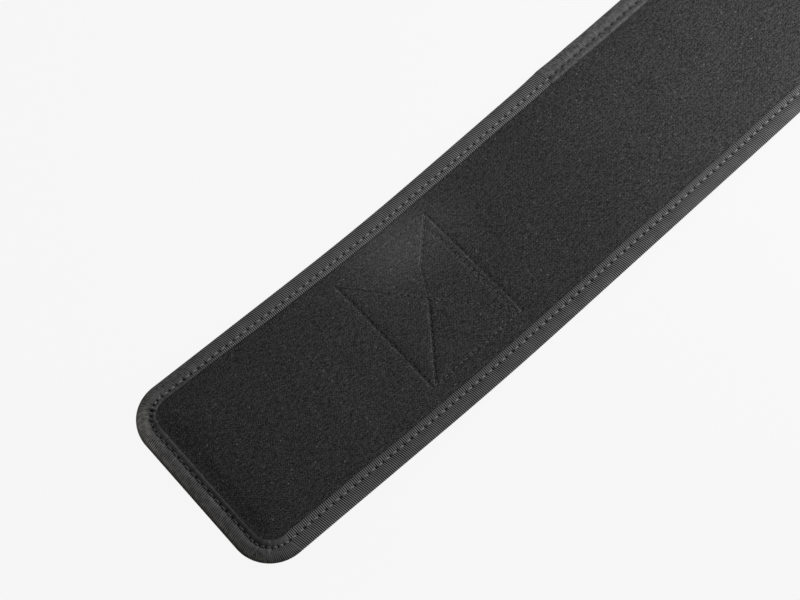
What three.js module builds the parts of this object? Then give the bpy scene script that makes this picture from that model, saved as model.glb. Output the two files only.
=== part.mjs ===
// A nylon weightlifting belt, opened out and lying with its inner face up.
// A padded panel is bound with ribbed tape all round its edge. A webbing strap runs along the outer face,
// below the panel. A crossed box seam near each end sews it on. The first box also holds a folded loop of the
// same webbing with a wire ring in it, and past the other the strap leaves the panel as a closing strap.
// Millimetres, +Z up. +X runs along the belt from the ring's end to the closing strap, +Y across it.
// Points are worked out on the belt laid flat, as (along, across, height over the panel's middle surface),
// and bendPoint then lifts the ring's end: the sewn loop props it up, and its own curl lifts it further.

import * as THREE from 'three';

// Padded body, measured over its binding
const beltLength = 850;
const beltWidth = 100;
const cornerRadius = 19;

// Panel of foam between two fabrics, pinched thin where the binding grips it
const panelThickness = 6;
const panelEdgeThickness = 1.8;
const panelRise = 7;

// Binding tape folded over the edge
const tapeThickness = 1;
const tapeFaceWidth = 9.7;
const tapeLapStart = 252.8;
const tapeLapLength = 20;
const tapeLapFade = 10;
const tapeLapRise = 0.5;

// Webbing on the outer face: the strap with its closing end, and the loop, whose legs end past the box seam
const strapWidth = 75;
const strapThickness = 1.5;
const closingLength = 280;
const loopOverlap = 4;

// Crossed box seams that hold the strap, a margin in from its edges, and their dents in the inner face
const boxStart = 111;
const boxLength = 54;
const seamMargin = 4.8;
const seamDepth = 0.9;
const seamSpread = 2.6;

// Wire ring in the loop
const ringWireRadius = 2.5;
const ringSlot = 14;
const ringSideClearance = 0.5;
const ringCornerRadius = 3;
const ringToBox = 14;

// Clearance between pieces that touch on the real belt
const clearance = 0.3;

// Curl of the raised end, over the slope that it is propped up at: where each slope starts to fade and ends
const curlDegrees = 8;
const curlStart = 86;
const curlEnd = 190;
const propStart = 290;
const propEnd = 350;

// Step in which the curve's slope is summed, counts of facets, and rows of facets over the panel's round
// ends as shares of their radius
const curlStep = 1;
const cornerFacets = 8;
const noseFacets = 6;
const curlFacets = 28;
const boxFacets = 10;
const wireFacets = 10;
const ringCornerFacets = 4;
const loopFacets = 10;
const shortestFacet = 0.1;
const endShares = [0, 0.012, 0.06, 0.17, 0.36, 0.62];

const fabricBlack = { color: 0x2b2b2c, roughness: 0.95, metalness: 0 };
const tapeGrey = { color: 0x414141, roughness: 0.8, metalness: 0 };
const webbingBlack = { color: 0x262626, roughness: 0.85, metalness: 0 };
const steel = { color: 0x9a9c9e, roughness: 0.3, metalness: 1 };

// Outline of the panel inside its binding
const panelInset = tapeThickness + clearance;
const panelHalfWidth = beltWidth / 2 - panelInset;
const panelRadius = Math.max(cornerRadius - panelInset, shortestFacet);
const panelMargin = tapeFaceWidth + clearance - panelInset;
const boxWidth = strapWidth - 2 * seamMargin;

// Heights over the panel's middle surface, and of that surface over the ground
const panelHalf = panelThickness / 2;
const edgeHalf = panelEdgeThickness / 2;
const tapeInside = edgeHalf + clearance;
const tapeOutside = tapeInside + tapeThickness;
const strapHeight = -(panelHalf + clearance + strapThickness / 2);
const layer = strapThickness + clearance;
const loopRadius = ringWireRadius + clearance + strapThickness / 2;
const loopEnd = boxStart + boxLength + loopOverlap;
const barHeight = strapHeight - loopRadius;
const barAlong = boxStart - ringToBox;
const middleHeight = strapThickness / 2 - strapHeight;
const propSlope = Math.atan2(2 * layer, (propStart + propEnd) / 2 - loopEnd);
const facetLength = propEnd / curlFacets;

function smooth(share) {
  const t = THREE.MathUtils.clamp(share, 0, 1);
  return t * t * (3 - 2 * t);
}

// Downward slope of the belt, in radians, at a distance from its raised end
function slopeAt(along) {
  const curl = 1 - smooth((along - curlStart) / (curlEnd - curlStart));
  const prop = 1 - smooth((along - propStart) / (propEnd - propStart));
  return THREE.MathUtils.degToRad(curlDegrees) * curl + propSlope * prop;
}

// The panel's middle surface at a distance along the belt, summed in short steps from the flat stretch
function middleAt(along) {
  let x = Math.max(along, propEnd);
  let z = middleHeight;
  const steps = Math.max(0, Math.ceil((propEnd - along) / curlStep));
  const step = (propEnd - along) / Math.max(steps, 1);
  for (let k = 0; k < steps; k++) {
    const slope = slopeAt(propEnd - (k + 0.5) * step);
    x -= Math.cos(slope) * step;
    z += Math.sin(slope) * step;
  }
  return { x, z, slope: slopeAt(along) };
}

function bendPoint(along, across, height) {
  const middle = middleAt(along);
  return new THREE.Vector3(
    middle.x + height * Math.sin(middle.slope),
    across,
    middle.z + height * Math.cos(middle.slope),
  );
}

function geometryOf(points, triangles) {
  const geometry = new THREE.BufferGeometry().setFromPoints(points);
  geometry.setIndex(triangles);
  geometry.computeVertexNormals();
  return geometry;
}

// Closed tube from a closed run of closed rings
function loopGeometry(rings) {
  const sides = rings[0].length;
  const triangles = [];
  rings.forEach((ring, i) => {
    const next = ((i + 1) % rings.length) * sides;
    for (let j = 0; j < sides; j++) {
      const a = i * sides + j;
      const b = i * sides + ((j + 1) % sides);
      const c = next + j;
      const d = next + ((j + 1) % sides);
      triangles.push(a, b, c, b, d, c);
    }
  });
  return geometryOf(rings.flat(), triangles);
}

// Numbers from one value to another with about the given step, without the last one
function spread(from, to, step) {
  const count = Math.max(1, Math.round((to - from) / step));
  return Array.from({ length: count }, (_, k) => from + ((to - from) * k) / count);
}

// The ends of a range and, in order, the given values inside it that aren't too close for a facet
function ordered(from, to, values) {
  const between = values
    .filter((value) => value > from + shortestFacet && value < to - shortestFacet)
    .sort((a, b) => a - b);
  const kept = between.filter((value, k) => k === 0 || value - between[k - 1] > shortestFacet);
  return [from, ...kept, to];
}

// Distances along the belt where its curve, box seams and tape lap need an edge of a facet
function stationsAlong(from, to, boxStep, extra) {
  const boxEnd = boxStart + boxLength;
  return ordered(from, to, [
    ...spread(from, boxStart, facetLength),
    ...spread(boxStart, boxEnd, boxStep),
    ...spread(boxEnd, propEnd, facetLength),
    propEnd,
    ...spread(beltLength - boxEnd, beltLength - boxStart, boxStep),
    beltLength - boxStart,
    ...extra,
  ]);
}

// Distance inside the panel's rounded outline
function panelDepth(along, across) {
  const qx = Math.abs(along - beltLength / 2) - (beltLength / 2 - panelInset - panelRadius);
  const qy = Math.abs(across) - (panelHalfWidth - panelRadius);
  const outside = Math.hypot(Math.max(qx, 0), Math.max(qy, 0));
  return panelRadius - outside - Math.min(Math.max(qx, qy), 0);
}

// Share of the panel's full width at a distance along it, under 1 over its round ends
function widthShare(along) {
  const fromEnd = Math.min(along, beltLength - along) - panelInset;
  const short = Math.max(0, panelRadius - fromEnd);
  const rounded = Math.sqrt(Math.max(0, panelRadius ** 2 - short ** 2));
  return (panelHalfWidth - panelRadius + rounded) / panelHalfWidth;
}

// Half of the panel's thickness by the distance from its edge: round nose, pinched margin, padded middle
function panelHalfAt(depth) {
  if (depth < edgeHalf) return Math.sqrt(Math.max(0, edgeHalf ** 2 - (edgeHalf - depth) ** 2));
  return THREE.MathUtils.lerp(edgeHalf, panelHalf, smooth((depth - panelMargin) / panelRise));
}

// Dent in the inner face by the distance to the nearest line of a crossed box seam
function seamDent(along, across) {
  const halfX = boxLength / 2;
  const halfY = boxWidth / 2;
  const x = Math.abs(Math.min(along, beltLength - along) - boxStart - halfX);
  const y = Math.abs(across);
  const outside = Math.hypot(Math.max(x - halfX, 0), Math.max(y - halfY, 0));
  const inside = Math.max(Math.min(halfX - x, halfY - y), 0);
  const toCross = Math.abs(x * halfY - y * halfX) / Math.hypot(halfX, halfY);
  const distance = outside + Math.min(inside, toCross);
  return seamDepth * Math.exp(-((distance / seamSpread) ** 2));
}

function makePanel() {
  const start = panelInset;
  const end = beltLength - panelInset;
  const rows = [
    ...endShares.map((share) => start + share * panelRadius),
    ...stationsAlong(start + panelRadius, end - panelRadius, boxLength / boxFacets, []),
    ...endShares.map((share) => end - share * panelRadius).reverse(),
  ];

  // Columns across the full width: over the box seams, up the padding's slope and round the thin edge
  const depths = [panelMargin + panelRise, panelMargin + panelRise / 4, panelMargin, edgeHalf, edgeHalf / 5];
  const outer = depths.map((depth) => panelHalfWidth - depth);
  const columns = ordered(-panelHalfWidth, panelHalfWidth, [
    ...spread(-boxWidth / 2, boxWidth / 2, boxWidth / boxFacets),
    boxWidth / 2,
    ...outer,
    ...outer.map((across) => -across),
  ]);

  const points = [];
  const top = [];
  const bottom = [];
  rows.forEach((along, i) => {
    top.push([]);
    bottom.push([]);
    columns.forEach((column, j) => {
      const across = column * widthShare(along);
      const rim = i === 0 || i === rows.length - 1 || j === 0 || j === columns.length - 1;
      const half = rim ? 0 : panelHalfAt(panelDepth(along, across));
      top[i].push(points.push(bendPoint(along, across, half - (rim ? 0 : seamDent(along, across)))) - 1);
      bottom[i].push(rim ? top[i][j] : points.push(bendPoint(along, across, -half)) - 1);
    });
  });

  // Each cell is split along the diagonal of the box that it lies nearest to
  const triangles = [];
  for (let i = 0; i < rows.length - 1; i++) {
    const alongMiddle = Math.min(rows[i] + rows[i + 1], 2 * beltLength - rows[i] - rows[i + 1]) / 2;
    const flip = rows[i] > beltLength / 2 ? -1 : 1;
    for (let j = 0; j < columns.length - 1; j++) {
      const side = (alongMiddle - boxStart - boxLength / 2) * (columns[j] + columns[j + 1]) * flip;
      for (const [grid, up] of [[top, true], [bottom, false]]) {
        const [a, b, c, d] = [grid[i][j], grid[i + 1][j], grid[i + 1][j + 1], grid[i][j + 1]];
        const split = side > 0 ? [[a, b, c], [a, c, d]] : [[a, b, d], [b, c, d]];
        for (const face of split) triangles.push(...(up ? face : face.reverse()));
      }
    }
  }
  return geometryOf(points, triangles);
}

// Closed U section of the binding, as distance in from the belt's edge and height
function tapeSection(extra) {
  const section = [];
  const nose = (radius, from, to) => {
    for (let k = 0; k <= noseFacets; k++) {
      const angle = THREE.MathUtils.lerp(from, to, k / noseFacets);
      section.push([tapeOutside - radius * Math.cos(angle), radius * Math.sin(angle)]);
    }
  };
  section.push([tapeFaceWidth, tapeOutside + extra]);
  nose(tapeOutside + extra, Math.PI / 2, -Math.PI / 2);
  section.push([tapeFaceWidth, -tapeOutside - extra]);
  section.push([tapeFaceWidth, -tapeInside]);
  nose(tapeInside, -Math.PI / 2, Math.PI / 2);
  section.push([tapeFaceWidth, tapeInside]);
  return section;
}

// How far the tape stands up over its own hidden end, on the +Y edge
function lapRise(along, across) {
  if (across <= 0 || along < tapeLapStart) return 0;
  return tapeLapRise * (1 - smooth((along - tapeLapStart - tapeLapLength) / tapeLapFade));
}

// Section of the tape across a straight side, which faces -Y at turn 0 and +Y at turn PI
function sideRing(along, turn) {
  const facing = Math.cos(turn);
  return tapeSection(lapRise(along, -facing)).map(([inward, height]) =>
    bendPoint(along, -facing * (beltWidth / 2 - inward), height),
  );
}

// Section of the tape at a direction round a corner. An edge further in than the radius turns on a point.
function cornerRing(end, side, turn) {
  return tapeSection(0).map(([inward, height]) => {
    const reach = Math.max(cornerRadius - inward, shortestFacet);
    const along = (end ? beltLength - inward - reach : inward + reach) + reach * Math.sin(turn);
    const across = side * (beltWidth / 2 - inward - reach) - reach * Math.cos(turn);
    return bendPoint(along, across, height);
  });
}

function makeBinding() {
  const start = Math.max(cornerRadius, tapeFaceWidth + 2 * shortestFacet);
  const lapEnd = tapeLapStart + tapeLapLength;
  const lap = [tapeLapStart - clearance, tapeLapStart, lapEnd, lapEnd + tapeLapFade];
  const rings = [];
  const side = (turn, extra) => {
    const rows = stationsAlong(start, beltLength - start, facetLength, extra);
    if (turn > 0) rows.reverse();
    rings.push(...rows.map((along) => sideRing(along, turn)));
  };
  const corner = (end, across, firstTurn) => {
    for (let k = 0; k < cornerFacets; k++) {
      rings.push(cornerRing(end, across, firstTurn + (Math.PI / 2) * ((k + 0.5) / cornerFacets)));
    }
  };
  side(0, []);
  corner(true, -1, 0);
  corner(true, 1, Math.PI / 2);
  side(Math.PI, lap);
  corner(false, 1, Math.PI);
  corner(false, -1, 1.5 * Math.PI);
  return loopGeometry(rings);
}

// Webbing of the strap's width and thickness along a line seen from the side
function webbingAlong(line) {
  const upper = [];
  const lower = [];
  line.forEach((point, k) => {
    const before = line[Math.max(k - 1, 0)];
    const after = line[Math.min(k + 1, line.length - 1)];
    const side = new THREE.Vector2(before.z - after.z, after.x - before.x).setLength(strapThickness / 2);
    upper.push(new THREE.Vector2(point.x, point.z).add(side));
    lower.push(new THREE.Vector2(point.x, point.z).sub(side));
  });
  const shape = new THREE.Shape([...lower, ...upper.reverse()]);
  const geometry = new THREE.ExtrudeGeometry(shape, { depth: strapWidth, bevelEnabled: false });
  geometry.rotateX(Math.PI / 2);
  geometry.translate(0, strapWidth / 2, 0);
  return geometry;
}

// The strap runs level with the panel from the first box seam to its closing end
function makeStrap() {
  const run = [...spread(boxStart, propEnd, facetLength), propEnd, beltLength + closingLength];
  return webbingAlong(run.map((along) => bendPoint(along, 0, strapHeight)));
}

// The loop runs below the strap to the ring's bar, turns round it and comes back one layer lower
function makeLoop() {
  const legs = spread(boxStart, loopEnd, facetLength).concat(loopEnd);
  const line = legs.map((along) => [along, strapHeight - 2 * layer]).reverse();
  for (let k = 0; k <= loopFacets; k++) {
    const angle = Math.PI * (k / loopFacets);
    line.push([barAlong - loopRadius * Math.sin(angle), barHeight - loopRadius * Math.cos(angle)]);
  }
  line.push(...legs.map((along) => [along, strapHeight - layer]));
  return webbingAlong(line.map(([along, height]) => bendPoint(along, 0, height)));
}

// Rectangle of round wire, its held bar on the local origin and its free bar towards -X
function makeRing() {
  const halfX = ringSlot / 2 + ringWireRadius;
  const halfY = strapWidth / 2 + ringSideClearance + ringCornerRadius + ringWireRadius;
  const corners = [[1, -1], [1, 1], [-1, 1], [-1, -1]];
  const bend = ringCornerRadius + ringWireRadius;
  const rings = [];
  corners.forEach(([sx, sy], n) => {
    for (let k = 0; k <= ringCornerFacets; k++) {
      const turn = (n + k / ringCornerFacets) * (Math.PI / 2);
      const along = sx * (halfX - bend) + bend * Math.sin(turn) - halfX;
      const across = sy * (halfY - bend) - bend * Math.cos(turn);
      const ring = [];
      for (let j = 0; j < wireFacets; j++) {
        const angle = (2 * Math.PI * j) / wireFacets;
        const inward = ringWireRadius * Math.cos(angle);
        ring.push(new THREE.Vector3(
          along - inward * Math.sin(turn),
          across + inward * Math.cos(turn),
          ringWireRadius * Math.sin(angle),
        ));
      }
      rings.push(ring);
    }
  });
  return loopGeometry(rings);
}

const belt = new THREE.Group();

function add(name, geometry, finish) {
  const mesh = new THREE.Mesh(geometry, new THREE.MeshStandardMaterial(finish));
  mesh.name = name;
  belt.add(mesh);
  return mesh;
}

add('padded_panel', makePanel(), fabricBlack);
add('edge_binding', makeBinding(), tapeGrey);
add('support_strap', makeStrap(), webbingBlack);
add('ring_loop', makeLoop(), webbingBlack);

const ring = add('buckle_ring', makeRing(), steel);
ring.position.copy(bendPoint(barAlong, 0, barHeight));
ring.rotation.y = slopeAt(barAlong - ringSlot / 2);

// The origin is under the middle of the belt's footprint
const footprint = new THREE.Box3().setFromObject(belt, true);
const middle = footprint.getCenter(new THREE.Vector3());
belt.position.set(-middle.x, -middle.y, -footprint.min.z);

export default belt;
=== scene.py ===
"""A nylon weightlifting belt lying open with its inner face up, dressed over its fixed frame.

Shapes are worked out in millimetres on the belt laid flat, as (along, across, height): along from the raised
end, across from the middle line towards +Y, and height over the middle of the padding. bend() then lifts the
raised end and gives places in the frame, in metres.
"""
import math

import bpy
import numpy as np
from mathutils import Matrix, Vector


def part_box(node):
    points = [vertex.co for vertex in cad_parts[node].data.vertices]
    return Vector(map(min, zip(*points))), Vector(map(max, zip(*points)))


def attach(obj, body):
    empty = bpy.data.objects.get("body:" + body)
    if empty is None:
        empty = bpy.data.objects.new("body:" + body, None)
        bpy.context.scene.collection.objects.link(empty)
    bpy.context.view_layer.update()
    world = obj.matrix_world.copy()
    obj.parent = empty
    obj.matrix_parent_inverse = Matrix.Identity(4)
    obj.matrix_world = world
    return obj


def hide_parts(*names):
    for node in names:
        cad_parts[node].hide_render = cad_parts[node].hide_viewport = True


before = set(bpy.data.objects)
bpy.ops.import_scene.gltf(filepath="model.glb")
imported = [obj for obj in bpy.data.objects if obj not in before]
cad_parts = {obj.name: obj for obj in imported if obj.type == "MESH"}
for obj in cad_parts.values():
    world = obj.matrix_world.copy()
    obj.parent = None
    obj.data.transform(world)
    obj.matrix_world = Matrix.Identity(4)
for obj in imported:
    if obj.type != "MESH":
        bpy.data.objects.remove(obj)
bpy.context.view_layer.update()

MM = 0.001

# Sizes of the belt, as in the frame
BELT_LENGTH = 850.0
BELT_WIDTH = 100.0
CORNER_RADIUS = 19.0
PANEL_HALF = 3.0
EDGE_HALF = 0.9
PANEL_INSET = 1.3
STRAP_WIDTH = 75.0
STRAP_THICKNESS = 1.5
STRAP_HEIGHT = -4.05
STRAP_END = 1130.0
LAYER = 1.8
LOOP_END = 169.0
BOX_START = 111.0
BAR_ALONG = 97.0
BAR_HEIGHT = -7.6
LOOP_RADIUS = 3.55
MIDDLE_HEIGHT = 4.8
WIRE_RADIUS = 2.5
RING_SLOT = 14.0
RING_HALF_WIDTH = 43.5
RING_BEND = 5.5

# Steps of the meshes: finer up to where the photograph ends
PANEL_FINE_END = 345.0
TAPE_FINE_END = 350.0
PANEL_STEP = 1.12
PANEL_COLUMNS = 85
WIDE_STEP = 2.3
UNDER_STEP = 2.4
WEBBING_STEP = 2.0
WEBBING_WIDTH_STEP = 2.2
CUT_END = 0.7
SELVEDGE = 0.75
SELVEDGE_POINTS = 4
WIRE_SIDES = 20

# The raised end's curve
CURL_DEGREES = 8.0
CURL_START, CURL_END = 86.0, 190.0
PROP_START, PROP_END = 290.0, 350.0
PROP_SLOPE = math.atan2(2 * LAYER, (PROP_START + PROP_END) / 2 - LOOP_END)
CURVE_STEP = 0.5

# Binding tape
TAPE_FACE = 9.7
RIB_PITCH = 0.92
RIB_HEIGHT = 0.1
RIB_SLANT = 0.2
TAPE_STITCH = 4.05
STITCH_IN = 6.9
TAPE_THREAD = 0.4
THREAD_ABOVE = 1.82
THREAD_BELOW = 1.98
LAP_START = 252.8
LAP_LENGTH = 20.0
LAP_FADE = 10.0
LAP_BLEND = 2.4
LAP_RISE = 0.5

# Crossed box of stitches: lines as start, end, depth of the groove and its width, how dark the painted shade
# in its groove is, and how much its thread shows, with less painted shade on the thread the more it shows
BOX_LINES = [
    ((111.0, -32.3), (111.0, 33.4), 0.4, 1.4, 0.75, 0.3),
    ((165.3, -32.3), (165.3, 33.4), 0.4, 1.4, 0.55, 0.35),
    ((162.6, -31.0), (161.6, 24.0), 0.25, 1.2, 0.35, 1.0),
    ((111.0, 33.4), (165.3, 32.6), 0.2, 1.4, 0.1, 0.85),
    ((111.0, -32.3), (165.3, -32.3), 0.3, 1.4, 0.3, 0.95),
    ((111.0, 32.4), (128.0, 12.1), 0.2, 1.4, 0.15, 0.1),
    ((128.0, 12.1), (165.0, -32.0), 0.3, 1.4, 0.35, 0.85),
    ((112.6, -32.6), (137.8, -0.3), 0.45, 1.3, 1.0, 0.05),
    ((137.8, -0.3), (146.8, 15.0), 0.25, 1.3, 0.15, 0.1),
    ((146.8, 15.0), (164.8, 32.4), 0.35, 1.3, 0.4, 0.8),
]
BOX_STITCH = 3.1
BOX_THREAD = 0.22

# Low swellings of the padding as along, across, length, width and height
SWELLINGS = [
    (131.0, 29.0, 18.0, 19.0, 0.8),
    (128.0, 2.0, 10.0, 9.0, 0.1),
    (150.0, -22.0, 14.0, 9.0, 0.1),
    (176.0, 8.0, 7.0, 30.0, -0.35),
    (205.0, -5.0, 26.0, 30.0, -0.3),
    (245.0, 20.0, 22.0, 16.0, 0.35),
    (95.0, 20.0, 14.0, 14.0, 0.3),
    (60.0, -15.0, 22.0, 15.0, 0.3),
    (280.0, -20.0, 24.0, 14.0, 0.3),
]

# A faint crease over the padding, from and to (along, across)
CREASE = ((82.8, 31.0), (77.2, 1.0))

# The photograph's camera, in metres
CAMERA_PLACE = (-0.54311, -0.2222, 0.70638)
CAMERA_RIGHT = (0.73726, -0.66667, -0.10952)
CAMERA_DOWN = (-0.66025, -0.6766, -0.326)
CAMERA_FORWARD = (0.14323, 0.31266, -0.939)
CAMERA_LENS = 73.8


# Camera
def make_camera():
    data = bpy.data.cameras.new("camera")
    data.lens = CAMERA_LENS
    data.sensor_width = 36.0
    data.sensor_fit = "HORIZONTAL"
    data.clip_start = 0.01
    data.clip_end = 50.0
    camera = bpy.data.objects.new("camera", data)
    right = Vector(CAMERA_RIGHT)
    up = -Vector(CAMERA_DOWN)
    back = -Vector(CAMERA_FORWARD)
    turn = Matrix((right, up, back)).transposed().to_4x4()
    camera.matrix_world = Matrix.Translation(CAMERA_PLACE) @ turn
    bpy.context.scene.collection.objects.link(camera)
    bpy.context.scene.camera = camera


# Curve of the belt
def smooth(share):
    t = np.clip(share, 0.0, 1.0)
    return t * t * (3 - 2 * t)


def slope_at(along):
    """Slope of the belt: the raised end's curl, and the rise on to the folded loop that props it up."""
    curl = 1 - smooth((along - CURL_START) / (CURL_END - CURL_START))
    prop = 1 - smooth((along - PROP_START) / (PROP_END - PROP_START))
    return math.radians(CURL_DEGREES) * curl + PROP_SLOPE * prop


def middle_line():
    """The middle of the padding from the raised end to where the belt lies flat: along, and its x and z."""
    along = np.arange(0.0, PROP_END + CURVE_STEP / 2, CURVE_STEP)
    slope = slope_at((along[1:] + along[:-1]) / 2)
    x = PROP_END - np.append(np.cumsum((np.cos(slope) * CURVE_STEP)[::-1])[::-1], 0.0)
    z = MIDDLE_HEIGHT + np.append(np.cumsum((np.sin(slope) * CURVE_STEP)[::-1])[::-1], 0.0)
    return along, x, z


LINE_ALONG, LINE_X, LINE_Z = middle_line()
PANEL_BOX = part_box("padded_panel")
SHIFT = np.array([
    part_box("edge_binding")[1][0] - BELT_LENGTH * MM,
    (PANEL_BOX[0][1] + PANEL_BOX[1][1]) / 2,
    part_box("support_strap")[0][2],
])


def bend(flat):
    """World places in metres of flat ones in millimetres."""
    along = flat[..., 0]
    height = flat[..., 2]
    slope = slope_at(along)
    x = np.where(along < PROP_END, np.interp(along, LINE_ALONG, LINE_X), along)
    z = np.interp(along, LINE_ALONG, LINE_Z)
    place = [x + height * np.sin(slope), flat[..., 1], z + height * np.cos(slope)]
    return np.stack(place, -1) * MM + SHIFT


# Meshes
def outward(points, faces):
    """The faces, turned over where they enclose a negative volume."""
    a, b, c = (points[faces[:, k]] for k in range(3))
    volume = np.einsum("ij,ij->", a, np.cross(b, c))
    if faces.shape[1] == 4:
        volume += np.einsum("ij,ij->", a, np.cross(c, points[faces[:, 3]]))
    return faces[:, ::-1] if volume < 0 else faces


def add_piece(name, points, faces, material, nodes=(), painted=None):
    """A mesh piece from world points. painted holds the millimetre places that its material reads."""
    mesh = bpy.data.meshes.new(name)
    mesh.from_pydata(points.tolist(), [], faces.tolist())
    mesh.polygons.foreach_set("use_smooth", np.ones(len(faces), dtype=bool))
    if painted is not None:
        layer = mesh.attributes.new("flat", "FLOAT_VECTOR", "POINT")
        layer.data.foreach_set("vector", painted.astype(np.float32).ravel())
    mesh.materials.append(material)
    mesh.update()
    piece = bpy.data.objects.new(name, mesh)
    bpy.context.scene.collection.objects.link(piece)
    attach(piece, "root")
    if nodes:
        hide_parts(*nodes)
    return piece


def grid_faces(rows, columns, wrap_rows=False, wrap_columns=False):
    """Four-sided faces over a grid of places, closed round where it wraps."""
    i = np.arange(rows if wrap_rows else rows - 1)
    j = np.arange(columns if wrap_columns else columns - 1)
    i, j = (x.ravel() for x in np.meshgrid(i, j, indexing="ij"))
    i2 = (i + 1) % rows
    j2 = (j + 1) % columns
    corners = [i * columns + j, i2 * columns + j, i2 * columns + j2, i * columns + j2]
    return np.stack(corners, -1)


def wave(along, across, seed, length, height):
    """Low seeded unevenness: a few crossing waves of about one length."""
    rng = np.random.default_rng(seed)
    total = np.zeros_like(along)
    for _ in range(7):
        turn = rng.uniform(0, 2 * math.pi)
        pitch = length * rng.uniform(0.7, 1.6)
        start = rng.uniform(0, 2 * math.pi)
        way = along * math.cos(turn) + across * math.sin(turn)
        total += np.sin(2 * math.pi * way / pitch + start)
    return total * height / 2.6


def to_line(along, across, start, end):
    """Distance to a line between two points."""
    sx, sy = start
    dx, dy = end[0] - sx, end[1] - sy
    share = np.clip(((along - sx) * dx + (across - sy) * dy) / (dx * dx + dy * dy), 0, 1)
    return np.hypot(along - sx - share * dx, across - sy - share * dy)


# Padded panel
def panel_depth(along, across):
    """Distance inside the panel's rounded outline."""
    radius = CORNER_RADIUS - PANEL_INSET
    qx = np.abs(along - BELT_LENGTH / 2) - (BELT_LENGTH / 2 - PANEL_INSET - radius)
    qy = np.abs(across) - (BELT_WIDTH / 2 - PANEL_INSET - radius)
    outside = np.hypot(np.maximum(qx, 0), np.maximum(qy, 0))
    return radius - outside - np.minimum(np.maximum(qx, qy), 0)


def width_share(along):
    """Half the panel's width there as a share of its full half width."""
    half = BELT_WIDTH / 2 - PANEL_INSET
    radius = CORNER_RADIUS - PANEL_INSET
    from_end = np.minimum(along, BELT_LENGTH - along) - PANEL_INSET
    short = np.maximum(0, radius - from_end)
    return (half - radius + np.sqrt(np.maximum(0, radius**2 - short**2))) / half


def seam_shape(along, across):
    """Grooves of both boxes and the swell of the padding between their seams."""
    near = np.minimum(along, BELT_LENGTH - along)
    groove = np.zeros_like(along)
    closest = np.full_like(along, 99.0)
    for start, end, depth, width, _, _ in BOX_LINES:
        distance = to_line(near, across, start, end)
        closest = np.minimum(closest, distance)
        soft = 0.65 * np.exp(-((distance / width) ** 2))
        sharp = 0.35 * np.exp(-distance / 0.9)
        groove = np.maximum(groove, depth * (soft + sharp))
    swell = 0.16 * np.exp(-((closest - 9) / 6.5) ** 2)
    return swell - groove


def inner_face(along, across):
    """Height of the padding's inner face, the one that the photograph shows."""
    depth = panel_depth(along, across)
    rise = smooth((depth - 8.2) / 9) * 0.5 + smooth((depth - 8.2) / 20) * 0.5
    height = EDGE_HALF + (PANEL_HALF - EDGE_HALF) * rise
    relief = seam_shape(along, across) + wave(along, across, 4, 46, 0.16)
    relief += wave(along, across, 5, 19, 0.05)
    relief += 0.12 * np.exp(-((to_line(along, across, *CREASE) / 1.3) ** 2))
    for x, y, length, width, lift in SWELLINGS:
        relief += lift * np.exp(-(((along - x) / length) ** 2) - ((across - y) / width) ** 2)
    return height + relief * rise


def outer_face(along, across):
    """Depth of the padding's plain outer face."""
    depth = panel_depth(along, across)
    return EDGE_HALF + (PANEL_HALF - EDGE_HALF) * smooth((depth - 8.7) / 7)


def panel_rows():
    """Places along the panel, closer together at both ends and where the photograph shows it."""
    start = PANEL_INSET
    end = BELT_LENGTH - PANEL_INSET
    first = start + 0.35 * np.array([0, 0.5, 1.5, 3.0])
    fine = np.arange(start + 2, PANEL_FINE_END, PANEL_STEP)
    wide = np.arange(PANEL_FINE_END, end - 2, WIDE_STEP)
    return np.concatenate([first, fine, wide, end - (first - start)[::-1]])


def panel_columns():
    half = BELT_WIDTH / 2 - PANEL_INSET
    middle = np.linspace(-half + 0.9, half - 0.9, PANEL_COLUMNS)
    return np.concatenate([[-half, -half + 0.3], middle, [half - 0.3, half]])


def join_faces(upper, lower, rim):
    """One closed surface from two grids of places that share their rim: its places and its faces."""
    faces = grid_faces(*rim.shape)
    faces = np.concatenate([faces, faces[:, ::-1] + rim.size])
    number = np.arange(2 * rim.size)
    edge = np.flatnonzero(rim.ravel())
    number[rim.size + edge] = edge
    used, faces = np.unique(number[faces], return_inverse=True)
    flat = np.concatenate([upper.reshape(-1, 3), lower.reshape(-1, 3)])
    return flat[used], faces.reshape(-1, 4)


def make_panel(material):
    rows = panel_rows()
    columns = panel_columns()
    along = np.repeat(rows[:, None], len(columns), 1)
    across = columns[None, :] * width_share(along)
    rim = np.zeros_like(along, dtype=bool)
    rim[[0, -1], :] = True
    rim[:, [0, -1]] = True
    depth = panel_depth(along, across)
    nose = np.sqrt(np.clip(1 - np.maximum(1 - depth / EDGE_HALF, 0) ** 2, 0, 1))
    nose[rim] = 0
    upper = np.stack([along, across, inner_face(along, across) * nose], -1)
    lower = np.stack([along, across, -outer_face(along, across) * nose], -1)
    flat, faces = join_faces(upper, lower, rim)
    points = bend(flat)
    piece = add_piece("panel_cover", points, outward(points, faces), material, ["padded_panel"],
                      flat)


# Binding tape
SIDE = BELT_LENGTH - 2 * CORNER_RADIUS
END = BELT_WIDTH - 2 * CORNER_RADIUS
ARC = CORNER_RADIUS * math.pi / 2
RUNS = np.cumsum([0, SIDE, ARC, END, ARC, SIDE, ARC, END, ARC])
EDGE_LENGTH = RUNS[-1]


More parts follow.
